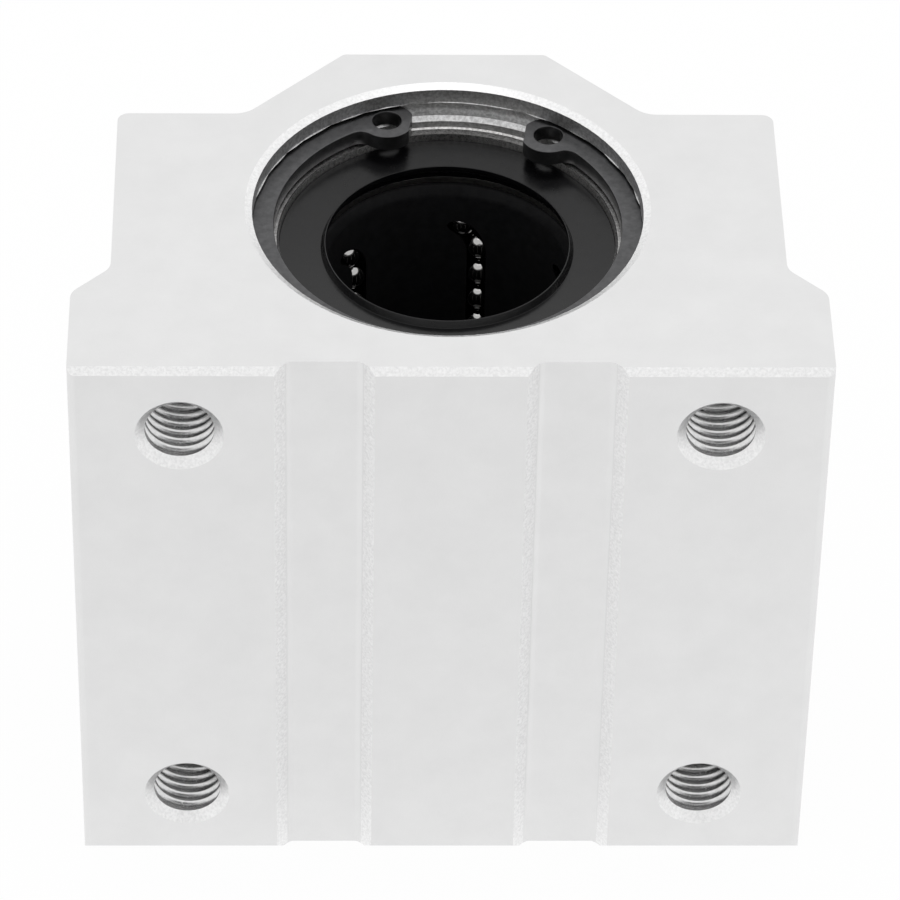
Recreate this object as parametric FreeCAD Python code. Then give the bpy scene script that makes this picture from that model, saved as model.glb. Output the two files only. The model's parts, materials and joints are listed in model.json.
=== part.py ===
"""Linear bearing block for a 25 mm shaft.

An extruded aluminium housing carries a recirculating ball bearing between two
retaining rings.  Frame: the shaft runs along Z, the block stands on its lower
end face, its mounting face looks towards -Y, and the origin is on the shaft
axis at half the block's length.  Lengths are in millimetres, angles in degrees.
"""
import FreeCAD, Part
import math
import os

from FreeCAD import Vector

# ---- Housing extrusion -------------------------------------------------------
housing_length = 67.0            # along the shaft
housing_height = 51.5            # mounting face to the crown
shaft_height = 26.0              # mounting face to the shaft axis
base_width = 76.0                # wide part beside the mounting face
base_height = 12.05              # mounting face to the step's sharp corner
body_width = 68.2                # narrow part above the step
shoulder_height = 41.3           # mounting face to the shoulders
crown_width = 21.2               # flat on top, between its sharp corners
flank_angle = 45.0               # slope of the step and of the crown's flanks
face_edge_radius = 0.8           # long edges of the mounting face
step_radius = 2.0                # rounding and root fillet of the step
shoulder_radius = 1.2            # outer edge of a shoulder
crown_root_radius = 3.0          # fillet between shoulder and crown flank
crown_radius = 0.8               # long edges of the crown
relief_inner = 7.55              # centre plane to the near edge of a relief
relief_width = 10.0              # shallow relief groove in the mounting face
relief_depth = 1.4
relief_corner_radius = 1.0       # between its flat bottom and its 45 degree sides
face_end_chamfer = 0.7           # mounting face to end face

# ---- Mounting holes ----------------------------------------------------------
hole_spacing_x = 54.0
hole_spacing_z = 50.0
hole_diameter = 7.0              # clears an M6 screw, and takes an M8 thread at the mounting face
countersink_diameter = 8.9       # at the mounting face
hole_mouth_diameter = 7.6        # at the shoulder

# ---- Bearing seat and bearing sleeve -----------------------------------------
shaft_diameter = 25.0
bearing_section = 7.5            # radial, shaft to the outside of the sleeve
seat_clearance = 0.01            # radial, housing to sleeve
bore_mouth_width = 0.75          # bevel at each mouth of the bore, radial
bore_mouth_depth = 0.45
sleeve_end_depth = 4.15          # housing's end face down to the sleeve's end
sleeve_end_land = 1.205          # ring between the sleeve's bore and its outer chamfer
sleeve_mouth_chamfer = 0.15
sleeve_groove_inset = 8.85       # sleeve's end to the near edge of an outside groove
sleeve_groove_width = 1.85
sleeve_groove_depth = 1.0
raceway_relief = 0.5             # how far the end bores reach beside the straight rows

# ---- Retaining rings in the housing ------------------------------------------
sleeve_play = 0.03               # along the shaft, sleeve end to retaining ring
ring_play_inside = 0.38          # along the shaft, ring to the inner wall of its groove
ring_play_outside = 0.27         # along the shaft, ring to the outer wall of its groove
ring_groove_depth = 1.03         # beyond the sleeve's outside
ring_thickness = 1.75
ring_groove_clearance = 0.05     # radial, ring to the bottom of its groove
ring_width = 3.15                # radial, halfway between the gap and the back
ring_offset = 0.15               # shifts the inner edge, so the ring tapers to its gap
upper_ring_direction = 81.75     # angle of the gap's middle, counted from +X
lower_ring_direction = 90.0
lug_hole_separation = 55.3       # angle between the two lug holes
lug_hole_inset = 2.65            # ring's outer edge to a lug hole's centre
lug_hole_diameter = 3.0
lug_radius = 2.9                 # round its hole
lug_end_width = 2.5              # lug hole's centre to the gap
lug_root_radius = 1.4            # fillet between lug and ring

# ---- Balls -------------------------------------------------------------------
ball_diameter = 3.175
ball_spacing = 0.285             # free space between neighbours, along their path
ball_shaft_clearance = 0.03
ball_raceway_clearance = 0.03
ball_track_clearance = 0.12      # radial, ball to its track
circuit_count = 6
turn_ball_count = 3              # balls in each turn of a circuit
first_circuit_angle = 14.4       # loaded row of circuit 1, counted from +X
ball_phases = (0.32, -0.42, 0.19, -0.1, 0.4, -0.26)    # how far each circuit has run, in pitches

# ---- Ball cage ---------------------------------------------------------------
cage_end_depth = 3.65            # sleeve's end down to the cage's end
cage_end_wall = 2.0              # least wall between a turn and the cage's end
cage_shaft_clearance = 0.3       # radial
cage_sleeve_clearance = 0.13     # radial, and at the cage's shoulders
cage_mouth_width = 0.7           # bevel at each end of the cage's bore, radial
cage_mouth_depth = 1.1

# ---- Cage snap rings, inside the sleeve --------------------------------------
snap_ring_thickness = 0.8
snap_ring_clearance = 0.05       # all round
snap_ring_bite = 0.5             # radial depth of its groove in the sleeve
snap_ring_shaft_clearance = 1.1  # radial
snap_ring_gap = 2.0

# ---- End seals ---------------------------------------------------------------
seal_recess = 0.9                # sleeve end down to the seal's rim
seal_rim_clearance = 0.03        # radial, seal to sleeve
seal_face_dip = 0.4              # from the rim down to the foot of the lip
seal_lip_width = 0.48            # radial, at the lip's edge
seal_lip_foot_width = 0.86       # radial, where the lip stands on the face
seal_lip_rise = 0.3              # lip's edge above the seal's rim
seal_lip_land = 0.6              # height of the edge that wipes the shaft
seal_lip_flare = 0.95            # height over which the lip opens to the seal's back
seal_back_clearance = 1.0        # radial, shaft to the seal's back

# ---- Worked out from the sizes above -----------------------------------------
shaft_radius = shaft_diameter / 2
ball_radius = ball_diameter / 2
sleeve_radius = shaft_radius + bearing_section
housing_end = housing_length / 2
sleeve_end = housing_end - sleeve_end_depth
ring_seat = sleeve_end + sleeve_play
ring_groove_radius = sleeve_radius + ring_groove_depth
ring_outer_radius = ring_groove_radius - ring_groove_clearance
ring_inner_radius = ring_outer_radius - ring_width
lug_hole_distance = ring_outer_radius - lug_hole_inset
ball_pitch = ball_diameter + ball_spacing
turn_radius = turn_ball_count * ball_pitch / math.pi
loaded_radius = shaft_radius + ball_shaft_clearance + ball_radius
return_radius = math.hypot(loaded_radius, 2 * turn_radius)
raceway_radius = loaded_radius + ball_radius + ball_raceway_clearance
track_radius = ball_radius + ball_track_clearance
end_bore_radius = return_radius + track_radius
sleeve_end_chamfer = sleeve_radius - end_bore_radius - sleeve_end_land
cage_end = sleeve_end - cage_end_depth
longest_row = 2 * (cage_end - cage_end_wall - track_radius - turn_radius)
row_ball_count = int(longest_row / ball_pitch)
row_end = row_ball_count * ball_pitch / 2
end_bore_floor = row_end - raceway_relief
snap_ring_bottom = cage_end + snap_ring_clearance
snap_ring_top = snap_ring_bottom + snap_ring_thickness
seal_bottom = snap_ring_top + snap_ring_clearance
same_place = 1e-3                # two lengths closer than this are the same


def along(angle, distance, height=0.0):
    """A point at an angle around the shaft axis."""
    turn = math.radians(angle)
    return Vector(distance * math.cos(turn), distance * math.sin(turn), height)


def rounded_face(corners):
    """A flat face from (point, radius) corners; radius 0 keeps a corner sharp."""
    ends = []
    for index, (point, radius) in enumerate(corners):
        to_last = (corners[index - 1][0] - point).normalize()
        to_next = (corners[(index + 1) % len(corners)][0] - point).normalize()
        half_angle = to_last.getAngle(to_next) / 2
        setback = radius / math.tan(half_angle)
        inward = (to_last + to_next).normalize()
        middle = point + inward * (radius / math.sin(half_angle) - radius)
        ends.append((point + to_last * setback, middle, point + to_next * setback, radius))
    edges = []
    for index, (start, middle, finish, radius) in enumerate(ends):
        if radius > 0:
            edges.append(Part.Arc(start, middle, finish).toShape())
        following = ends[(index + 1) % len(ends)][0]
        edges.append(Part.LineSegment(finish, following).toShape())
    return Part.Face(Part.Wire(edges))


def turned(outline):
    """A solid of revolution about the shaft axis, from (radius, height) points."""
    points = [Vector(radius, 0, height) for radius, height in outline]
    face = Part.Face(Part.makePolygon(points + points[:1]))
    return face.revolve(Vector(0, 0, 0), Vector(0, 0, 1), 360)


def mirrored_outline(upper_outline):
    """Adds the lower half to an outline given from the middle up, mirrored in Z."""
    lower = [(radius, -height) for radius, height in reversed(upper_outline)]
    return lower + upper_outline


def lower_copy(shape):
    """The same piece at the other end of the bearing."""
    return shape.mirror(Vector(0, 0, 0), Vector(0, 0, 1))


def housing_section():
    """The extrusion's section, drawn on the mid-length plane."""
    slope = math.tan(math.radians(flank_angle))
    base_half = base_width / 2
    body_half = body_width / 2
    crown_half = crown_width / 2
    step_top = base_height + (base_half - body_half) * slope
    crown_foot = crown_half + (housing_height - shoulder_height) / slope
    right = [
        (base_half, 0, face_edge_radius),
        (base_half, base_height, step_radius),
        (body_half, step_top, step_radius),
        (body_half, shoulder_height, shoulder_radius),
        (crown_foot, shoulder_height, crown_root_radius),
        (crown_half, housing_height, crown_radius),
    ]
    left = [(-x, height, radius) for x, height, radius in reversed(right)]
    corners = [(Vector(x, height - shaft_height, 0), radius) for x, height, radius in right + left]
    return rounded_face(corners)


def face_reliefs():
    """Cutters for the two shallow grooves along the mounting face."""
    mouth = relief_width / 2
    bottom = mouth - relief_depth
    corners = [
        (Vector(-mouth, 0, 0), 0),
        (Vector(mouth, 0, 0), 0),
        (Vector(bottom, relief_depth, 0), relief_corner_radius),
        (Vector(-bottom, relief_depth, 0), relief_corner_radius),
    ]
    groove = rounded_face(corners).extrude(Vector(0, 0, housing_length))
    cutters = []
    for side in (-1, 1):
        centre_x = side * (relief_inner + relief_width / 2)
        cutters.append(groove.translated(Vector(centre_x, -shaft_height, -housing_end)))
    return cutters


def face_end_chamfers():
    """Cutters that bevel the mounting face's edges at the two end faces."""
    cutters = []
    for side in (-1, 1):
        edge = Vector(-base_width, -shaft_height, side * housing_end)
        along_face = edge - Vector(0, 0, side * face_end_chamfer)
        along_end = edge + Vector(0, face_end_chamfer, 0)
        triangle = Part.Face(Part.makePolygon([edge, along_face, along_end, edge]))
        cutters.append(triangle.extrude(Vector(2 * base_width, 0, 0)))
    return cutters


def housing_bore():
    """The bore with its two ring grooves and bevelled mouths, as one turned cutter."""
    radius = sleeve_radius + seat_clearance
    groove_bottom = ring_seat - ring_play_inside
    groove_top = ring_seat + ring_thickness + ring_play_outside
    upper = [
        (radius, groove_bottom),
        (ring_groove_radius, groove_bottom),
        (ring_groove_radius, groove_top),
        (radius, groove_top),
        (radius, housing_end - bore_mouth_depth),
        (radius + bore_mouth_width, housing_end),
        (0, housing_end),
    ]
    return turned(mirrored_outline(upper))


def mounting_hole(x, z):
    """A hole drilled from the mounting face to the shoulder, with both mouths bevelled."""
    radius = hole_diameter / 2
    sink = countersink_diameter / 2
    mouth = hole_mouth_diameter / 2
    outline = [
        (0, 0),
        (sink, 0),
        (radius, sink - radius),
        (radius, shoulder_height - (mouth - radius)),
        (mouth, shoulder_height),
        (0, shoulder_height),
    ]
    cutter = turned(outline)
    cutter.rotate(Vector(0, 0, 0), Vector(1, 0, 0), -90)
    cutter.translate(Vector(x, -shaft_height, z))
    return cutter


def housing():
    block = housing_section().extrude(Vector(0, 0, housing_length))
    block.translate(Vector(0, 0, -housing_end))
    cutters = face_reliefs() + face_end_chamfers() + [housing_bore()]
    for x in (-hole_spacing_x / 2, hole_spacing_x / 2):
        for z in (-hole_spacing_z / 2, hole_spacing_z / 2):
            cutters.append(mounting_hole(x, z))
    return block.cut(cutters)


def retaining_ring(direction):
    """An internal retaining ring, flat on the XY plane, with its gap in the given direction."""
    inner = Part.makeCylinder(ring_inner_radius, ring_thickness, Vector(ring_offset, 0, 0))
    outer = Part.makeCylinder(ring_outer_radius, ring_thickness)
    half_gap = lug_hole_separation / 2
    reach = 2 * ring_outer_radius
    wedge_points = [Vector(0, 0, 0), along(-half_gap, reach), along(half_gap, reach), Vector(0, 0, 0)]
    wedge = Part.Face(Part.makePolygon(wedge_points)).extrude(Vector(0, 0, ring_thickness))
    band = outer.cut([inner, wedge])
    centres = [along(side * half_gap, lug_hole_distance) for side in (-1, 1)]
    lugs = [Part.makeCylinder(lug_radius, ring_thickness, centre) for centre in centres]
    slot_half = centres[1].y - lug_end_width
    slot = Part.makeBox(reach, 2 * slot_half, ring_thickness, Vector(0, -slot_half, 0))
    ring = band.fuse(lugs).common(outer).cut(slot).removeSplitter()
    roots = [edge for edge in ring.Edges if is_lug_root(edge)]
    ring = ring.makeFillet(lug_root_radius, roots)
    holes = [Part.makeCylinder(lug_hole_diameter / 2, ring_thickness, centre) for centre in centres]
    ring = ring.cut(holes)
    ring.rotate(Vector(0, 0, 0), Vector(0, 0, 1), direction)
    return ring


def is_lug_root(edge):
    """True for an upright edge where a lug's round side meets the ring's inner edge."""
    low = edge.valueAt(edge.FirstParameter)
    high = edge.valueAt(edge.LastParameter)
    upright = abs(low.x - high.x) + abs(low.y - high.y) < same_place
    inner_distance = low.distanceToPoint(Vector(ring_offset, 0, low.z))
    angle = abs(math.degrees(math.atan2(low.y, low.x)))
    beyond_hole = angle > lug_hole_separation / 2
    return upright and beyond_hole and abs(inner_distance - ring_inner_radius) < same_place


def bearing_sleeve():
    """Hardened sleeve: raceway in the middle, wider bores at the ends, two outside grooves."""
    groove_top = sleeve_end - sleeve_groove_inset
    groove_bottom = groove_top - sleeve_groove_width
    groove_radius = sleeve_radius - sleeve_groove_depth
    snap_groove = end_bore_radius + snap_ring_bite
    upper = [
        (raceway_radius, 0),
        (raceway_radius, end_bore_floor),
        (end_bore_radius, end_bore_floor),
        (end_bore_radius, snap_ring_bottom - snap_ring_clearance),
        (snap_groove, snap_ring_bottom - snap_ring_clearance),
        (snap_groove, snap_ring_top + snap_ring_clearance),
        (end_bore_radius, snap_ring_top + snap_ring_clearance),
        (end_bore_radius, sleeve_end - sleeve_mouth_chamfer),
        (end_bore_radius + sleeve_mouth_chamfer, sleeve_end),
        (sleeve_radius - sleeve_end_chamfer, sleeve_end),
        (sleeve_radius, sleeve_end - sleeve_end_chamfer),
        (sleeve_radius, groove_top),
        (groove_radius, groove_top),
        (groove_radius, groove_bottom),
        (sleeve_radius, groove_bottom),
        (sleeve_radius, 0),
    ]
    half = turned(upper)
    sleeve = half.fuse(lower_copy(half)).removeSplitter()
    channels = []
    for circuit in range(circuit_count):
        foot = path_point(circuit, 2 * turn_radius, -end_bore_floor)
        channels.append(Part.makeCylinder(track_radius, 2 * end_bore_floor, foot))
    return sleeve.cut(channels)


def circuit_angle(circuit):
    return first_circuit_angle + circuit * 360.0 / circuit_count


def path_point(circuit, chord, height):
    """A point in a circuit's plane, which touches the loaded row's circle along that row."""
    angle = circuit_angle(circuit)
    return along(angle, loaded_radius, height) + along(angle + 90, chord)


def ball_track(circuit):
    """The endless track of one circuit: two straight tubes joined by two half rings."""
    pieces = []
    for chord in (0, 2 * turn_radius):
        foot = path_point(circuit, chord, -row_end)
        pieces.append(Part.makeCylinder(track_radius, 2 * row_end, foot))
    axis = along(circuit_angle(circuit) + 180, 1)
    for height, turn in ((row_end, 180), (-row_end, -180)):
        mouth = Part.Circle(path_point(circuit, 0, height), Vector(0, 0, 1), track_radius)
        disc = Part.Face(Part.Wire(mouth.toShape()))
        centre = path_point(circuit, turn_radius, height)
        pieces.append(disc.revolve(centre, axis, turn))
    return pieces


def ball_cage():
    """Moulded cage: thin beside the raceway, with a collar round the turns at each end."""
    bore_radius = shaft_radius + cage_shaft_clearance
    middle_radius = raceway_radius - cage_sleeve_clearance
    collar_radius = end_bore_radius - cage_sleeve_clearance
    collar_bottom = end_bore_floor + cage_sleeve_clearance
    upper = [
        (middle_radius, 0),
        (middle_radius, collar_bottom),
        (collar_radius, collar_bottom),
        (collar_radius, cage_end),
        (bore_radius + cage_mouth_width, cage_end),
        (bore_radius, cage_end - cage_mouth_depth),
        (bore_radius, 0),
    ]
    half = turned(upper)
    cage = half.fuse(lower_copy(half)).removeSplitter()
    for circuit in range(circuit_count):
        for piece in ball_track(circuit):
            cage = cage.cut(piece)
    return cage


def snap_ring():
    """The upper spring ring that holds the cage, with its gap towards the mounting face."""
    radius = end_bore_radius + snap_ring_bite - snap_ring_clearance
    inner = shaft_radius + snap_ring_shaft_clearance
    outline = [
        (inner, snap_ring_bottom),
        (radius, snap_ring_bottom),
        (radius, snap_ring_top),
        (inner, snap_ring_top),
    ]
    gap = Part.makeBox(snap_ring_gap, 2 * radius, 2 * snap_ring_thickness)
    gap.translate(Vector(-snap_ring_gap / 2, -2 * radius, snap_ring_bottom - snap_ring_thickness / 2))
    return turned(outline).cut(gap)


def end_seal():
    """The upper seal: a slightly dished disc with a raised lip that wipes the shaft."""
    rim_radius = end_bore_radius - seal_rim_clearance
    rim_top = sleeve_end - seal_recess
    back_radius = shaft_radius + seal_back_clearance
    lip_top = rim_top + seal_lip_rise
    land_bottom = lip_top - seal_lip_land
    outline = [
        (back_radius, seal_bottom),
        (rim_radius, seal_bottom),
        (rim_radius, rim_top),
        (shaft_radius + seal_lip_foot_width, rim_top - seal_face_dip),
        (shaft_radius + seal_lip_width, lip_top),
        (shaft_radius, lip_top),
        (shaft_radius, land_bottom),
        (back_radius, land_bottom - seal_lip_flare),
    ]
    return turned(outline)


def ball_at(circuit, travelled):
    """One ball, at a distance along its circuit from the foot of the loaded row."""
    row = row_ball_count * ball_pitch
    turn = turn_ball_count * ball_pitch
    if travelled < row:
        chord, height = 0, travelled - row_end
    elif travelled < row + turn:
        swung = (travelled - row) / turn_radius
        chord = turn_radius * (1 - math.cos(swung))
        height = row_end + turn_radius * math.sin(swung)
    elif travelled < 2 * row + turn:
        chord, height = 2 * turn_radius, row_end - (travelled - row - turn)
    else:
        swung = (travelled - 2 * row - turn) / turn_radius
        chord = turn_radius * (1 + math.cos(swung))
        height = -row_end - turn_radius * math.sin(swung)
    return Part.makeSphere(ball_radius, path_point(circuit, chord, height))


def ball_groups(circuit):
    """The circuit's balls in four groups, in the order in which they follow each other."""
    sizes = (
        ("loaded_row", row_ball_count),
        ("upper_turn", turn_ball_count),
        ("return_row", row_ball_count),
        ("lower_turn", turn_ball_count),
    )
    groups = {}
    first = 0
    for name, size in sizes:
        places = range(first, first + size)
        start = (0.5 + ball_phases[circuit % len(ball_phases)]) * ball_pitch
        balls = [ball_at(circuit, start + place * ball_pitch) for place in places]
        groups[f"circuit_{circuit + 1}_{name}"] = Part.makeCompound(balls)
        first += size
    return groups


def placed_ring(direction):
    """The upper retaining ring, in its groove just beyond the sleeve's end."""
    ring = retaining_ring(direction)
    ring.translate(Vector(0, 0, ring_seat))
    return ring


parts = {
    "housing": housing(),
    "upper_retaining_ring": placed_ring(upper_ring_direction),
    "lower_retaining_ring": lower_copy(placed_ring(lower_ring_direction)),
    "bearing_sleeve": bearing_sleeve(),
    "ball_cage": ball_cage(),
    "upper_snap_ring": snap_ring(),
    "lower_snap_ring": lower_copy(snap_ring()),
    "upper_seal": end_seal(),
    "lower_seal": lower_copy(end_seal()),
}
for circuit in range(circuit_count):
    parts.update(ball_groups(circuit))

os.makedirs("parts", exist_ok=True)
for name, shape in parts.items():
    shape.exportStep(f"parts/{name}.step")
    print(f"{name}: {len(shape.Solids)} solid(s), {shape.Volume:.1f} mm3, valid {shape.isValid()}")
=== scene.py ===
# %% [markdown]
# # A linear bearing block
#
# A linear bearing block carries a machine table along a hardened round shaft. This one is an
# extruded aluminium housing with a ball bearing in its bore, held by two retaining rings. The
# solids come from the engineers' model, already in metres and in their right places. This lesson
# dresses them: it cuts the threads, breaks the sharp edges, gives every surface the finish of its
# real material, and sets up light and a camera. Loading comes first, because every later piece
# takes its place from what is loaded.

# %% Load the engineers' solids
import json
import math
import random

import bmesh
import bpy
from mathutils import Matrix, Vector


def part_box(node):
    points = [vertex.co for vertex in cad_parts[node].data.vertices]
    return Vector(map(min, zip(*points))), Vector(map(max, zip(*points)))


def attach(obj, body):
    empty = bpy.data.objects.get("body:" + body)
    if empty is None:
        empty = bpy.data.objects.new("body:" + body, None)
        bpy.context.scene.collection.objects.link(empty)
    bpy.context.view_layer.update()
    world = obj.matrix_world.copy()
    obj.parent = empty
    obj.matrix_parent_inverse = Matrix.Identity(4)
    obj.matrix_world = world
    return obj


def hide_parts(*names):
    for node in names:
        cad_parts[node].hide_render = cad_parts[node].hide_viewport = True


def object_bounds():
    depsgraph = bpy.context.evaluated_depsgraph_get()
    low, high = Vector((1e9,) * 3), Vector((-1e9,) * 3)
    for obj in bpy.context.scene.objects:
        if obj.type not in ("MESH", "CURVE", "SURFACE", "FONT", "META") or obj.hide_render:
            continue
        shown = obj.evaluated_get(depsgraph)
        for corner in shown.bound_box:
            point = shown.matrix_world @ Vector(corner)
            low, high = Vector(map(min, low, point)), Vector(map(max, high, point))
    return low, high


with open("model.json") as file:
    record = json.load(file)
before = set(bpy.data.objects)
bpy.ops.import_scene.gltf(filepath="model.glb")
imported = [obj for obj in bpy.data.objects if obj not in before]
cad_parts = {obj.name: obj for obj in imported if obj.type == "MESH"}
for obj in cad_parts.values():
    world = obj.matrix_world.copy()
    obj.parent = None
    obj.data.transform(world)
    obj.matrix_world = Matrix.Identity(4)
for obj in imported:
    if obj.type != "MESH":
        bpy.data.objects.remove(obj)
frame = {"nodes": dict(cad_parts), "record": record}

cad_low, cad_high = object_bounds()
print("nodes:", len(frame["nodes"]), "box:", cad_low, cad_high)

# %% [markdown]
# ## Sizes
#
# Blender counts in metres here, but a part this small is easier to think of in millimetres. One
# named value turns one into the other. The places of the holes are read from the record, so
# nothing that is modelled below can drift away from the solids.

# %% Millimetres and the places of the holes
mm = 0.001


def mount(name):
    """One entry of the record's list of mounting features."""
    return next(entry for entry in frame["record"]["mounts"] if entry["name"] == name)


hole_pattern = mount("tapped_holes")["dims"]
hole_x = hole_pattern["spacing_x_mm"] / 2 * mm
hole_z = hole_pattern["spacing_y_mm"] / 2 * mm
hole_radius = hole_pattern["hole_r_mm"] * mm
face_y = cad_low.y
end_z = cad_high.z
seat_radius = (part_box("bearing_sleeve")[1].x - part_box("bearing_sleeve")[0].x) / 2
print("mounting face at y", face_y, "end faces at z", end_z, "bearing seat radius", seat_radius)

# %% [markdown]
# ## Working on one piece at a time
#
# Blender's operators act on whatever is selected, and everything is selected right after a load.
# So each step starts by deselecting all, and then picks its one piece.
#
# The loaded solids are loose triangles, which is how they travel between programs. A copy of one
# can be welded: vertices in the same place become one, and triangles that lie in one plane become
# one face. Only then do edges exist that can be bevelled or shaded. The loaded mesh itself is
# never touched.

# %% Helpers: pick a piece, weld a copy, select edges and points
weld_distance = 0.002 * mm
same_place = 0.005 * mm
flat_angle = math.radians(0.3)


def work_on(piece):
    """Makes one piece the only selected one, and the active one."""
    bpy.ops.object.select_all(action="DESELECT")
    piece.select_set(True)
    bpy.context.view_layer.objects.active = piece


def welded_copy(node, name):
    """A solid's shape as a new piece: one closed skin, whole flat faces, normals outwards."""
    piece = bpy.data.objects.new(name, frame["nodes"][node].data.copy())
    bpy.context.scene.collection.objects.link(piece)
    piece.data.materials.clear()
    work_on(piece)
    bpy.ops.mesh.customdata_custom_splitnormals_clear()
    bpy.ops.object.mode_set(mode="EDIT")
    bpy.ops.mesh.select_all(action="SELECT")
    bpy.ops.mesh.remove_doubles(threshold=weld_distance)
    bpy.ops.mesh.normals_make_consistent(inside=False)
    bpy.ops.mesh.dissolve_limited(angle_limit=flat_angle)
    bpy.ops.object.mode_set(mode="OBJECT")
    return piece


def select_edges(piece, wanted):
    """In edit mode, selects the edges that the given test accepts, and says how many."""
    bpy.ops.mesh.select_mode(type="EDGE")
    bpy.ops.mesh.select_all(action="DESELECT")
    mesh = bmesh.from_edit_mesh(piece.data)
    chosen = [edge for edge in mesh.edges if wanted(edge)]
    for edge in chosen:
        edge.select_set(True)
    bmesh.update_edit_mesh(piece.data)
    return len(chosen)


def select_points(piece, wanted):
    """In edit mode, selects the vertices whose places the given test accepts."""
    bpy.ops.mesh.select_mode(type="VERT")
    bpy.ops.mesh.select_all(action="DESELECT")
    mesh = bmesh.from_edit_mesh(piece.data)
    chosen = [v for v in mesh.verts if wanted(v.co)]
    for v in chosen:
        v.select_set(True)
    mesh.select_flush(True)
    bmesh.update_edit_mesh(piece.data)
    return len(chosen)


def is_sharp(edge, least=math.radians(25)):
    """True where two faces meet at a visible angle."""
    return len(edge.link_faces) == 2 and edge.calc_face_angle() > least


def break_edges(piece, width, wanted=is_sharp, segments=2, slot=-1):
    """Rounds the chosen edges by a small width, as handling and deburring do."""
    work_on(piece)
    bpy.ops.object.mode_set(mode="EDIT")
    count = select_edges(piece, wanted)
    bpy.ops.mesh.bevel(offset=width, segments=segments, profile=0.5, clamp_overlap=True, material=slot)
    bpy.ops.object.mode_set(mode="OBJECT")
    print(piece.name, "edges broken:", count)


def shade(piece, angle=30):
    """Smooth shading with creases; large faces stay flat, and small ones bend towards them."""
    work_on(piece)
    bpy.ops.object.shade_smooth_by_angle(angle=math.radians(angle))
    weighted = piece.modifiers.new("flat faces", "WEIGHTED_NORMAL")
    weighted.keep_sharp = True
    weighted.weight = 100
    bpy.ops.object.modifier_apply(modifier="flat faces")
    print(piece.name, "triangles:", sum(len(face.vertices) - 2 for face in piece.data.polygons))


# %% [markdown]
# ## The housing
#
# The housing is an extruded bar, sawn and milled to length. Its welded copy only lacks what a
# machinist and a deburring wheel add. The outline of each end face gets a tiny rounding first,
# while the mesh is still simple. Without it the edges would look like paper. The file went over
# the ends of the two reliefs more heavily, so those edges get a wider flat.

# %% Copy the housing and break the edges of its ends
block = welded_copy("housing", "block_body")
end_edge_width = 0.12 * mm
relief_edge_width = 0.35 * mm
relief_side_height = 0.75 * mm
relief_height = 1.5 * mm


def on_an_end(edge):
    """A sharp edge that lies in one of the two end faces."""
    return is_sharp(edge) and all(abs(abs(v.co.z) - end_z) < same_place for v in edge.verts)


def ends_a_relief(edge):
    """An end face's edge along the bottom of a relief."""
    low, high = face_y + relief_side_height, face_y + relief_height
    return on_an_end(edge) and all(low < v.co.y < high for v in edge.verts)


break_edges(block, relief_edge_width, ends_a_relief, segments=1)
break_edges(block, end_edge_width, on_an_end)

# %% [markdown]
# Below each ring groove the bearing's seat starts with a turned bevel that leads the sleeve in.
# It faces the open mouth, so it shines between the lugs of the ring. The groove's floor is its
# wall on the bearing's side. It moves outwards by the ring's play, so that the ring lies on it.
# Then a bevel of one step along the seat's edge makes the slope.

# %% Bevel the mouth of the bearing's seat
bore_slack = 0.03 * mm
lead_in_width = 0.46 * mm
floor_rise = 0.38 * mm
floor_reach = 1.5 * mm
ring_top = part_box("upper_retaining_ring")[1].z
groove_floor_z = min(abs(v.co.z) for v in block.data.vertices
                     if abs(v.co.xy.length - seat_radius) < bore_slack)
work_on(block)
bpy.ops.object.mode_set(mode="EDIT")
for side in (-1, 1):
    raised = select_points(block, lambda place: abs(place.z - side * groove_floor_z) < same_place
                           and place.xy.length < seat_radius + floor_reach)
    bpy.ops.transform.translate(value=(0, 0, side * floor_rise))
bpy.ops.object.mode_set(mode="OBJECT")
print("groove floor at z", groove_floor_z, "points raised at each end:", raised)


def on_the_seat_mouth(edge):
    """A sharp edge round the bore, on the bearing's side of a ring groove."""
    return is_sharp(edge) and all(
        abs(v.co.xy.length - seat_radius) < bore_slack and abs(v.co.z) < ring_top for v in edge.verts)


break_edges(block, lead_in_width, on_the_seat_mouth, segments=1)

# %% [markdown]
# The tool that turned the grooves for the retaining rings pushed up a burr along their outer
# rims. It catches the light as a thin broken line. A narrow bevel in two steps gives each rim a
# middle row of points, and pulling some of those towards the axis raises the burr. The heights
# are drawn at random, from a fixed seed, so that the burr is the same in every render.

# %% Raise a burr on the rims of the ring grooves
burr_width = 0.06 * mm
burr_heights = (0.03 * mm, 0.08 * mm, 0.14 * mm)
mouth_height = 0.6 * mm
crest_low, crest_high = 0.2 * burr_width, 0.8 * burr_width


def on_groove_rim(edge):
    """A sharp edge round the bore, between a retaining ring and the mouth."""
    return is_sharp(edge) and all(
        abs(v.co.xy.length - seat_radius) < bore_slack and ring_top < abs(v.co.z) < end_z - mouth_height
        for v in edge.verts)


rim_z = min(abs(v.co.z) for v in block.data.vertices
            if abs(v.co.xy.length - seat_radius) < bore_slack and abs(v.co.z) > ring_top)
break_edges(block, burr_width, on_groove_rim)
chance = random.Random(4)
bpy.ops.object.mode_set(mode="EDIT")
bpy.ops.mesh.select_mode(type="VERT")
rim = bmesh.from_edit_mesh(block.data)
crest = [v.index for v in rim.verts if crest_low < abs(v.co.z) - rim_z < crest_high
         and crest_low < v.co.xy.length - seat_radius < crest_high]
drawn = {index: chance.choice(burr_heights + (0,)) for index in crest}
for height in burr_heights:
    bpy.ops.mesh.select_all(action="DESELECT")
    rim = bmesh.from_edit_mesh(block.data)
    rim.verts.ensure_lookup_table()
    for index in crest:
        rim.verts[index].select_set(drawn[index] == height)
    bmesh.update_edit_mesh(block.data)
    share = 1 - height / seat_radius
    bpy.ops.transform.resize(value=(share, share, 1), center_override=(0, 0, 0))
bpy.ops.object.mode_set(mode="OBJECT")
print("groove rim at z", rim_z, "burr points:", len(crest))

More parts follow.
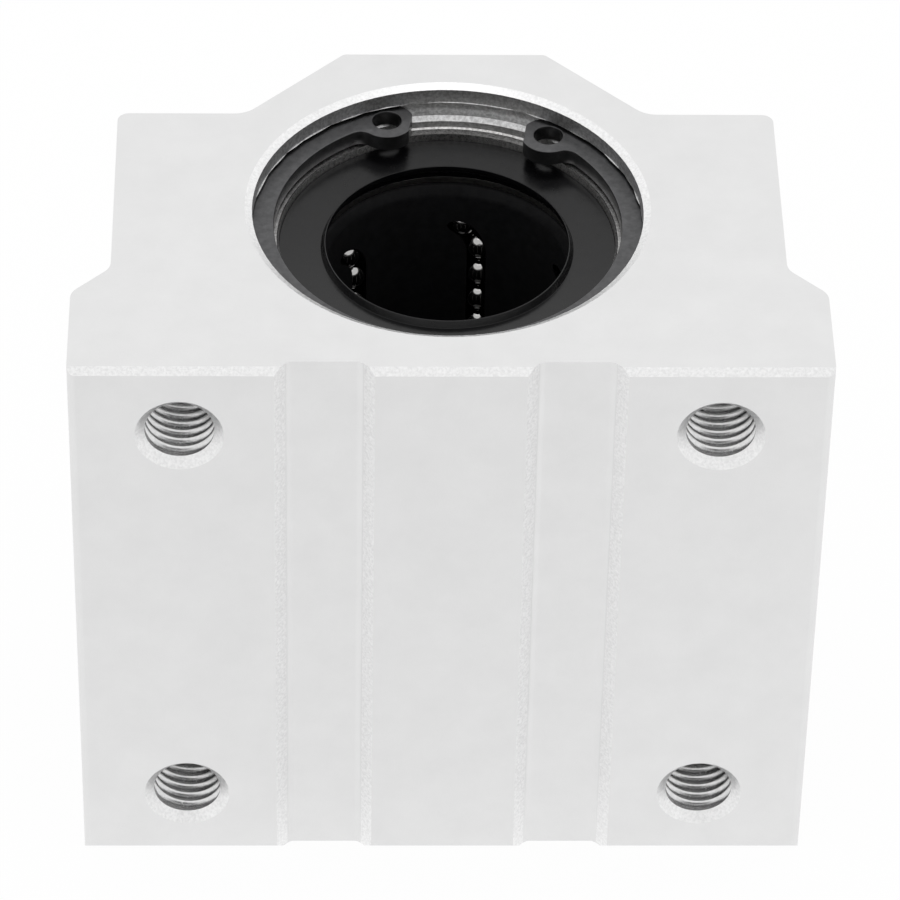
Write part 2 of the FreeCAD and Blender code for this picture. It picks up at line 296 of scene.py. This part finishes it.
# %% [markdown]
# ## The threads
#
# Four M8 threads run in from the mounting face. A tap cuts a 60 degree groove along a helix, with
# a pitch of 1.25 mm. The groove's section is modelled once as a flat plate: narrow and flat at the
# bottom of the thread, and wide at its mouth. Two short extrusions flare the mouth, because a tap
# rounds the crests that it leaves, and those round crests are the bright lines seen in a tapped
# hole. A Screw modifier sweeps the plate along the helix, which gives a coiled cutter. It starts
# inside the countersink, where a real tap first bites. A copy goes to each hole, and one Boolean
# cuts all four.

# %% Model the coiled cutter for one thread
thread_pitch = 1.25 * mm
thread_root = 4.1 * mm
root_flat = 0.16 * mm
flank_inner = 3.68 * mm
thread_length = 17.5 * mm
thread_turns = int(thread_length / thread_pitch)
steps_per_turn = 40
flank_slope = math.tan(math.radians(30))
inner_width = root_flat + 2 * (thread_root - flank_inner) * flank_slope
plate_middle = (thread_root + flank_inner) / 2
flares = ((0.1 * mm, 1.22), (0.08 * mm, 1.26), (0.25 * mm, 1.0))

bpy.ops.object.select_all(action="DESELECT")
bpy.ops.mesh.primitive_plane_add(size=1, location=(plate_middle, 0, 0), rotation=(math.pi / 2, 0, 0))
thread_cutter = bpy.context.object
thread_cutter.name = "thread_cutter"
thread_cutter.scale = (thread_root - flank_inner, inner_width, 1)
bpy.ops.object.transform_apply(location=True, rotation=True, scale=True)
bpy.ops.object.mode_set(mode="EDIT")
bpy.ops.mesh.select_mode(type="VERT")
bpy.ops.mesh.select_all(action="DESELECT")
plate = bmesh.from_edit_mesh(thread_cutter.data)
for corner in plate.verts:
    corner.select_set(corner.co.x > plate_middle)
bmesh.update_edit_mesh(thread_cutter.data)
bpy.ops.transform.resize(value=(1, 1, root_flat / inner_width))
select_edges(thread_cutter, lambda edge: all(v.co.x < plate_middle for v in edge.verts))
for reach, spread in flares:
    bpy.ops.mesh.extrude_edges_move(TRANSFORM_OT_translate={"value": (-reach, 0, 0)})
    bpy.ops.transform.resize(value=(1, 1, spread))
bpy.ops.mesh.select_all(action="SELECT")
bpy.ops.mesh.dissolve_faces()
bpy.ops.object.mode_set(mode="OBJECT")
coil = thread_cutter.modifiers.new("coil", "SCREW")
coil.axis = "Z"
coil.screw_offset = thread_pitch
coil.angle = 2 * math.pi
coil.iterations = thread_turns
coil.steps = steps_per_turn
coil.render_steps = steps_per_turn
coil.use_merge_vertices = False
bpy.ops.object.modifier_apply(modifier="coil")
bpy.ops.object.mode_set(mode="EDIT")
bpy.ops.mesh.select_mode(type="EDGE")
bpy.ops.mesh.select_all(action="DESELECT")
bpy.ops.mesh.select_non_manifold(extend=False)
bpy.ops.mesh.edge_face_add()
bpy.ops.mesh.select_all(action="SELECT")
bpy.ops.mesh.remove_doubles(threshold=weld_distance)
bpy.ops.mesh.normals_make_consistent(inside=False)
bpy.ops.object.mode_set(mode="OBJECT")
print("thread turns:", thread_turns, "cutter faces:", len(thread_cutter.data.polygons))

# %% [markdown]
# The cutter stands on end, along Z. A quarter turn about Z puts the start of its coil at the top
# of the hole, another about X lays it along Y, pointing into the block, and then it moves to its
# hole. The joined copies make one tool for one cut.

# %% Place a copy at each hole and cut
first_bite = 1.275 * mm
back_a_quarter = -math.pi / 2
into_the_block = Matrix.Rotation(back_a_quarter, 4, "X") @ Matrix.Rotation(back_a_quarter, 4, "Z")
thread_start = Vector((0, face_y + first_bite, 0))
cutters = []
for x in (-hole_x, hole_x):
    for z in (-hole_z, hole_z):
        cutter = bpy.data.objects.new("thread_cutter_copy", thread_cutter.data.copy())
        bpy.context.scene.collection.objects.link(cutter)
        cutter.data.transform(Matrix.Translation(thread_start + Vector((x, 0, z))) @ into_the_block)
        cutters.append(cutter)
bpy.ops.object.select_all(action="DESELECT")
for cutter in cutters:
    cutter.select_set(True)
bpy.context.view_layer.objects.active = cutters[0]
bpy.ops.object.join()
tap = bpy.context.object
work_on(block)
cut = block.modifiers.new("tapping", "BOOLEAN")
cut.operation = "DIFFERENCE"
cut.solver = "EXACT"
cut.object = tap
bpy.ops.object.modifier_apply(modifier="tapping")
bpy.data.objects.remove(tap)
bpy.data.objects.remove(thread_cutter)
shade(block)
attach(block, "block")
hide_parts("housing")

# %% [markdown]
# The bar was blasted and anodised first, and then bored, tapped and milled. So what the cutters
# touched is bare metal, and each kind of cutter leaves its own surface. Boring leaves a speckled
# wall, taps burnish the flanks of a thread, and the cutters that chamfer edges leave even slopes.
# Their colour is lighter than the blasted skin: partly the bare metal, partly painted light on
# slopes that face the light. The flanks of the two reliefs get that lighter colour too, as painted
# light that evens out the shade on them. The faces of each kind go to a material slot of their
# own. Where a face lies and how far it leans, which its normal tells, are enough to sort it.

# %% Sort the faces that were cut by how they were cut
bored_slot, tapped_slot, milled_and_painted_light_slot = 1, 2, 3
bore_reach = seat_radius + 1.1 * mm
hole_reach = 4.5 * mm
countersink_depth = 1.1 * mm
bevel_height = 0.75 * mm
edge_reach = 0.5 * mm
slope_least = 0.5
filed_least = 0.3
countersink_least = 0.6


def cut_slot(face, corners):
    """The material slot for a face, from where its corner points lie: 0 for the blasted skin."""
    if all(abs(abs(c.z) - end_z) < same_place for c in corners):
        return 0
    if all(abs(c.y - face_y) < same_place for c in corners):
        return 0
    if all(c.xy.length < bore_reach for c in corners):
        in_the_mouth = all(abs(c.z) > end_z - mouth_height for c in corners)
        return milled_and_painted_light_slot if in_the_mouth else bored_slot
    if all(math.hypot(abs(c.x) - hole_x, abs(c.z) - hole_z) < hole_reach for c in corners):
        countersunk = (all(c.y < face_y + countersink_depth for c in corners)
                       and face.normal.y < -countersink_least)
        return milled_and_painted_light_slot if countersunk else tapped_slot
    bevelled_end = (all(c.y < face_y + bevel_height for c in corners)
                    and min(abs(face.normal.y), abs(face.normal.z)) > slope_least)
    filed = (all(c.y < face_y + relief_height + edge_reach for c in corners)
             and all(abs(c.z) > end_z - edge_reach for c in corners)
             and abs(face.normal.z) > filed_least)
    # The relief flanks join the lighter milled slot: painted light that evens out their shade.
    relief_flank_painted_light = (all(c.y < face_y + relief_height and abs(c.x) < hole_x for c in corners)
                   and abs(face.normal.x) > slope_least)
    return milled_and_painted_light_slot if bevelled_end or filed or relief_flank_painted_light else 0


counts = [0, 0, 0, 0]
for face in block.data.polygons:
    face.material_index = cut_slot(face, [block.data.vertices[index].co for index in face.vertices])
    counts[face.material_index] += 1
print("faces blasted, bored, tapped, milled:", counts)

# %% [markdown]
# ## The bearing's pieces
#
# The retaining rings are stamped from spring steel strip. The punch leaves their edges rolled
# over, so they get the widest rounding. The sleeve is turned and ground, and the seals are
# moulded: their edges are only just broken. The cage keeps its edges as the mould made them,
# except the two round its mouth. Every shaft that goes in rubs those to a shine, so their narrow
# bevels get a second material slot.
#
# Two small shapes are made by hand. Facing leaves a raised rim on each end of the sleeve: an
# inset of the end's ring of faces, pushed down a little, leaves that rim standing. And the
# seal's lip is thin and steep: both circles of its outer slope move in towards the axis.

# %% Dress the rings, the sleeve, the seals and the cage
edge_widths = {
    "upper_retaining_ring": 0.3 * mm,
    "lower_retaining_ring": 0.3 * mm,
    "bearing_sleeve": 0.08 * mm,
    "upper_seal": 0.08 * mm,
    "lower_seal": 0.08 * mm,
    "upper_snap_ring": 0.08 * mm,
    "lower_snap_ring": 0.08 * mm,
}
slots = {entry["node"]: entry["material_slot"] for entry in frame["record"]["subparts"]}
dressed = {"block_body": block}
rim_width = 0.2 * mm
rim_height = 0.14 * mm
inner_edge_share = 0.9925
lip_height = 0.75 * mm
lip_edge_width = 0.2 * mm
lip_share = 0.972
rubbed_width = 0.25 * mm
seal_foot = 13.6 * mm


def raise_rims(sleeve):
    """Leaves a raised rim round both edges of each flat end of the sleeve."""
    work_on(sleeve)
    bpy.ops.object.mode_set(mode="EDIT")
    top = max(v.co.z for v in sleeve.data.vertices)
    inner_edge = min(v.co.xy.length for v in sleeve.data.vertices if abs(v.co.z) > top - same_place)
    for side in (-1, 1):
        select_points(sleeve, lambda place: abs(place.z - side * top) < same_place
                      and place.xy.length < inner_edge + bore_slack)
        bpy.ops.transform.resize(value=(inner_edge_share, inner_edge_share, 1), center_override=(0, 0, 0))
        select_points(sleeve, lambda place: abs(place.z - side * top) < same_place)
        bpy.ops.mesh.select_mode(type="FACE")
        bpy.ops.mesh.inset(thickness=rim_width)
        bpy.ops.transform.translate(value=(0, 0, -side * rim_height))
    bpy.ops.object.mode_set(mode="OBJECT")


def narrow_the_lip(seal):
    """Moves the two circles of the lip's outer slope towards the axis."""
    work_on(seal)
    bpy.ops.object.mode_set(mode="EDIT")
    lip_end = max(abs(v.co.z) for v in seal.data.vertices)
    lip_edge = min(v.co.xy.length for v in seal.data.vertices)
    moved = select_points(seal, lambda place: abs(place.z) > lip_end - lip_height
                          and lip_edge + lip_edge_width < place.xy.length < seal_foot)
    bpy.ops.transform.resize(value=(lip_share, lip_share, 1), center_override=(0, 0, 0))
    bpy.ops.object.mode_set(mode="OBJECT")
    print(seal.name, "points of the lip moved:", moved)


def round_the_mouth(edge):
    """A sharp edge of the cage's mouth."""
    return (is_sharp(edge) and abs(edge.verts[0].co.z - edge.verts[1].co.z) < same_place
            and all(v.co.xy.length < seal_foot for v in edge.verts))


for node, width in edge_widths.items():
    piece = welded_copy(node, "dressed_" + node)
    if node == "bearing_sleeve":
        raise_rims(piece)
    if node.endswith("seal"):
        narrow_the_lip(piece)
    break_edges(piece, width)
    shade(piece)
    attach(piece, "block")
    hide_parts(node)
    dressed[node] = piece
cage = welded_copy("ball_cage", "dressed_ball_cage")
break_edges(cage, rubbed_width, round_the_mouth, segments=3, slot=1)
shade(cage)
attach(cage, "block")
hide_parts("ball_cage")
dressed["ball_cage"] = cage

# %% [markdown]
# ## The balls
#
# Six endless circuits of balls carry the shaft. Each circuit is four groups of balls, and each
# group moves with a body of its own. Their welded copies only need smooth shading all over.

# %% Dress the balls
ball_groups = [node for node in frame["nodes"] if slots[node] == "balls"]
for node in ball_groups:
    piece = welded_copy(node, "dressed_" + node)
    work_on(piece)
    bpy.ops.object.shade_smooth()
    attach(piece, node)
    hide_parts(node)
    dressed[node] = piece
print("ball groups:", len(ball_groups))

# %% [markdown]
# ## Colours and nodes
#
# Colours are written as the sRGB values that a screen shows, and shaders want linear light, so
# one function turns the first into the second. Another adds a node with its settings and links.
# Patterns read Object coordinates, which are metres in the part's own frame. A noise texture's
# scale is then the number of features per metre, worked out from a size in millimetres.

# %% Helpers for materials


def linear(hex_colour):
    """An sRGB colour such as "#E0E0E0" as linear red, green, blue and alpha."""
    channels = [int(hex_colour[i:i + 2], 16) / 255 for i in (1, 3, 5)]
    return [c / 12.92 if c <= 0.04045 else ((c + 0.055) / 1.055) ** 2.4 for c in channels] + [1]


def per_metre(feature_mm):
    """Scale of a pattern whose features are that many millimetres across."""
    return 1 / (feature_mm * mm)


def add_node(tree, kind, settings=None, inputs=None):
    """Adds a node. Inputs are plain values, or sockets of other nodes, which get linked."""
    node = tree.nodes.new(kind)
    for name, value in (settings or {}).items():
        setattr(node, name, value)
    for name, value in (inputs or {}).items():
        if isinstance(value, bpy.types.NodeSocket):
            tree.links.new(value, node.inputs[name])
        else:
            node.inputs[name].default_value = value
    return node


def new_material(name, **shader_values):
    """A material whose single values are set on its shader; returns both with the coordinates."""
    material = bpy.data.materials.new(name)
    material.use_nodes = True
    tree = material.node_tree
    shader = tree.nodes["Principled BSDF"]
    for socket, value in shader_values.items():
        shader.inputs[socket.replace("_", " ")].default_value = value
    place = add_node(tree, "ShaderNodeTexCoord").outputs["Object"]
    return material, tree, shader, place


# %% [markdown]
# ## Finishes
#
# Every finish here is built the same way, from how the real surface was made. Broad clouds shift
# the colour a little, as handling, oil and uneven etching do. A fine grain changes the roughness
# and raises a slight relief, as blasting grit, cutter marks or a mould's texture do. The steel
# and aluminium keep the shader's own IOR, because a metal's reflection comes from its colour.
#
# - The bar is glass-bead blasted and clear anodised: an even, silky light grey that mirrors
#   nothing sharply.
# - The bored wall is broken up by chatter marks, the tapped flanks are burnished until they nearly
#   mirror, and the milled chamfers are even, and lighter than the blasted skin: partly bare metal,
#   partly painted light.
# - The retaining rings are phosphated: a dull dark skin of tiny crystals.
# - The sleeve is turned bearing steel, a warmer and darker grey than aluminium.
# - The cage is a satin black resin, and the seals are black nitrile rubber with a wet sheen.
# - The balls are lapped until they mirror their surroundings.

# %% One function for all the finishes


def finish(name, light, dark, cloud_mm, grain_mm, roughness, relief_mm, contrast=0.2, **shader_values):
    """A finish with clouds between two colours, and a grain in roughness and relief."""
    material, tree, shader, place = new_material(name, **shader_values)
    clouds = add_node(tree, "ShaderNodeTexNoise", inputs={
        "Vector": place, "Scale": per_metre(cloud_mm), "Detail": 4, "Roughness": 0.6})
    spread = add_node(tree, "ShaderNodeMapRange", inputs={
        "Value": clouds.outputs["Fac"], "From Min": 0.5 - contrast, "From Max": 0.5 + contrast})
    colour = add_node(tree, "ShaderNodeMix", {"data_type": "RGBA"}, {
        "Factor": spread.outputs["Result"], 6: linear(dark), 7: linear(light)})
    grain = add_node(tree, "ShaderNodeTexNoise", inputs={
        "Vector": place, "Scale": per_metre(grain_mm), "Detail": 3, "Roughness": 0.7})
    rough = add_node(tree, "ShaderNodeMapRange", inputs={
        "Value": grain.outputs["Fac"], "From Min": 0.3, "From Max": 0.7,
        "To Min": roughness[0], "To Max": roughness[1]})
    relief = add_node(tree, "ShaderNodeBump", inputs={
        "Height": grain.outputs["Fac"], "Strength": 1.0, "Distance": relief_mm * mm})
    tree.links.new(colour.outputs[2], shader.inputs["Base Color"])
    tree.links.new(rough.outputs["Result"], shader.inputs["Roughness"])
    tree.links.new(relief.outputs["Normal"], shader.inputs["Normal"])
    return material


# %% The block's finishes, in the order of its slots
block_finishes = [
    finish("blasted anodised aluminium", "#E8E8E8", "#E4E4E4", cloud_mm=5, grain_mm=0.25,
           roughness=(0.28, 0.38), relief_mm=0.01, Metallic=1.0),
    finish("bored aluminium", "#D8D8D8", "#B4B4B4", cloud_mm=0.35, grain_mm=0.3,
           roughness=(0.35, 0.45), relief_mm=0.02, contrast=0.12, Metallic=1.0),
    finish("tapped aluminium", "#E6E6E6", "#D8D8D8", cloud_mm=0.5, grain_mm=0.3,
           roughness=(0.18, 0.28), relief_mm=0.01, Metallic=1.0),
    # The milled colour is lighter than the blasted skin: partly bare metal, partly painted light.
    finish("milled aluminium with painted light", "#FAFAFA", "#E8E8E8", cloud_mm=0.3, grain_mm=0.3,
           roughness=(0.36, 0.46), relief_mm=0.015, contrast=0.15, Metallic=1.0),
]
for material in block_finishes:
    block.data.materials.append(material)

# %% The finishes of the bearing's pieces
finishes = {
    "retaining_ring": finish("phosphated spring steel", "#646465", "#545455", cloud_mm=0.8, grain_mm=0.15,
                             roughness=(0.3, 0.4), relief_mm=0.01, Metallic=1.0),
    "sleeve": finish("turned bearing steel", "#D0CFCE", "#A4A3A2", cloud_mm=0.3, grain_mm=0.15,
                     roughness=(0.25, 0.38), relief_mm=0.01, contrast=0.12, Metallic=1.0),
    "cage": finish("satin black resin", "#1E1E1F", "#161617", cloud_mm=1.0, grain_mm=0.4,
                   roughness=(0.3, 0.4), relief_mm=0.003, IOR=1.5, Specular_IOR_Level=0.05),
    "snap_ring": finish("bright spring steel", "#A09F9D", "#8C8B89", cloud_mm=0.5, grain_mm=0.2,
                        roughness=(0.3, 0.4), relief_mm=0.004, Metallic=1.0),
    "seal": finish("black nitrile rubber", "#080809", "#050506", cloud_mm=1.5, grain_mm=1.0,
                   roughness=(0.2, 0.28), relief_mm=0.012, IOR=1.5, Specular_IOR_Level=0.35),
    "balls": finish("lapped chrome steel", "#B4B3B2", "#ACABAA", cloud_mm=0.8, grain_mm=0.4,
                    roughness=(0.04, 0.08), relief_mm=0.0003, Metallic=1.0),
}
for name, piece in dressed.items():
    if name != "block_body":
        piece.data.materials.append(finishes[slots[name]])
cage.data.materials.append(finish("shaft-rubbed black resin", "#1E1E1F", "#161617", cloud_mm=1.0,
                                  grain_mm=0.4, roughness=(0.1, 0.15), relief_mm=0.002, IOR=1.8))

# %% [markdown]
# ## The floor
#
# The block stands on a white paper table. To the camera and in reflections the paper is mostly
# its own white, and a share of real shading keeps the block's soft shadow. The disc under the bore
# is a face of its own with plain paper only, because otherwise that white would shine up into the
# bearing, where no light can be. Its paper is also a little darker than the rest: painted shade
# under the bore.

# %% Lay the floor
floor_size = 2.5
disc_radius = seat_radius + 1 * mm
disc_sides = 48
floor_spread = floor_size / disc_radius
bpy.ops.object.select_all(action="DESELECT")
bpy.ops.mesh.primitive_circle_add(vertices=disc_sides, radius=disc_radius, fill_type="NGON",
                                  location=(0, 0, cad_low.z))
floor = bpy.context.object
floor.name = "floor"
bpy.ops.object.transform_apply(location=True, rotation=True, scale=True)
bpy.ops.object.mode_set(mode="EDIT")
bpy.ops.mesh.select_mode(type="EDGE")
bpy.ops.mesh.select_all(action="SELECT")
bpy.ops.mesh.extrude_edges_move()
bpy.ops.transform.resize(value=(floor_spread, floor_spread, 1))
bpy.ops.object.mode_set(mode="OBJECT")
print("floor faces:", len(floor.data.polygons))

# %% White paper, and the disc under the bore with painted shade
white_share = 0.95
paper, tree, shader, _ = new_material("white studio paper", Roughness=0.9)
shader.inputs["Base Color"].default_value = linear("#FAFAFA")
rays = add_node(tree, "ShaderNodeLightPath").outputs
mirrored = add_node(tree, "ShaderNodeMath", {"operation": "MAXIMUM"}, {
    0: rays["Is Glossy Ray"], 1: rays["Is Transmission Ray"]})
seen = add_node(tree, "ShaderNodeMath", {"operation": "MAXIMUM"}, {
    0: rays["Is Camera Ray"], 1: mirrored.outputs[0]})
share = add_node(tree, "ShaderNodeMath", {"operation": "MULTIPLY"}, {
    0: seen.outputs[0], 1: white_share})
white = add_node(tree, "ShaderNodeEmission", inputs={"Color": (1, 1, 1, 1), "Strength": 1.0})
blend = add_node(tree, "ShaderNodeMixShader", inputs={
    0: share.outputs[0], 1: shader.outputs["BSDF"], 2: white.outputs["Emission"]})
tree.links.new(blend.outputs["Shader"], tree.nodes["Material Output"].inputs["Surface"])
paper_with_painted_shade, _, shader, _ = new_material("paper under the bore with painted shade", Roughness=0.9)
# The disc's paper is a little darker than the floor's: painted shade under the bore.
shader.inputs["Base Color"].default_value = linear("#F0F0F0")
floor.data.materials.append(paper)
floor.data.materials.append(paper_with_painted_shade)
for face in floor.data.polygons:
    if all(floor.data.vertices[index].co.xy.length < cad_high.x for index in face.vertices):
        face.material_index = 1

# %% [markdown]
# ## The light
#
# Metal is only as good as what it mirrors. The block stands in a white tent with an opening at the
# front, towards a darker room. The tent is white to the camera and in reflections, and lights
# the block evenly. The opening is a dark soft-edged spot of the world, low in front. Without it
# the threads and the polished balls would have nothing dark to mirror, and would look like chalk.
# A weak softbox above the camera adds the small highlights.

# %% The tent and its opening
tent_strength = 1.0
opening_height = math.radians(8)
opening_direction = Vector((0, -math.cos(opening_height), math.sin(opening_height)))
opening_inner = math.cos(math.radians(16))
opening_outer = math.cos(math.radians(30))
world = bpy.data.worlds.new("white tent")
bpy.context.scene.world = world
world.use_nodes = True
tree = world.node_tree
tree.nodes.clear()
rays = add_node(tree, "ShaderNodeLightPath").outputs
direction = add_node(tree, "ShaderNodeTexCoord").outputs["Generated"]
nearness = add_node(tree, "ShaderNodeVectorMath", {"operation": "DOT_PRODUCT"}, {
    0: direction, 1: opening_direction})
opening = add_node(tree, "ShaderNodeMapRange", {"interpolation_type": "SMOOTHSTEP"}, {
    "Value": nearness.outputs["Value"], "From Min": opening_outer, "From Max": opening_inner})
unseen = add_node(tree, "ShaderNodeMath", {"operation": "SUBTRACT"}, {0: 1.0, 1: rays["Is Camera Ray"]})
dark_share = add_node(tree, "ShaderNodeMath", {"operation": "MULTIPLY"}, {
    0: opening.outputs["Result"], 1: unseen.outputs[0]})
colour = add_node(tree, "ShaderNodeMix", {"data_type": "RGBA"}, {
    "Factor": dark_share.outputs[0], 6: (1, 1, 1, 1), 7: linear("#404040")})
tent = add_node(tree, "ShaderNodeBackground", inputs={
    "Color": colour.outputs[2], "Strength": tent_strength})
add_node(tree, "ShaderNodeOutputWorld", inputs={"Surface": tent.outputs["Background"]})

# %% The softbox
softbox_place = Vector((0, -0.16, 0.68))
key_light = bpy.data.lights.new("softbox above the camera", "AREA")
key_light.shape = "RECTANGLE"
key_light.size = 0.4
key_light.size_y = 0.25
key_light.energy = 0.22
key = bpy.data.objects.new("softbox above the camera", key_light)
bpy.context.scene.collection.objects.link(key)
key.location = softbox_place
key.rotation_euler = softbox_place.to_track_quat("Z", "Y").to_euler()
print("softbox at", softbox_place, "power", key_light.energy)

# %% [markdown]
# ## The camera
#
# The camera looks down at the mounting face from a good arm's length, through a long lens, so
# that the block's edges stay nearly parallel. Its place and its three angles are all it needs.

# %% Camera
camera_data = bpy.data.cameras.new("camera")
camera = bpy.data.objects.new("camera", camera_data)
bpy.context.scene.collection.objects.link(camera)
bpy.context.scene.camera = camera
camera_data.sensor_width = 36
camera_data.lens = 222
camera_data.clip_start = 0.01
camera_data.clip_end = 10
camera_place = Vector((-12.25, -442.36, 388.14)) * mm
look_down = math.radians(41.224)
turned_right = math.radians(1.681)
camera_roll = math.radians(1.199)
aim = (Matrix.Rotation(-turned_right, 4, "Z") @ Matrix.Rotation(math.pi / 2 - look_down, 4, "X")
       @ Matrix.Rotation(camera_roll, 4, "Z"))
camera.matrix_world = Matrix.Translation(camera_place) @ aim

# %% The colour view
bpy.context.scene.view_settings.view_transform = "Standard"
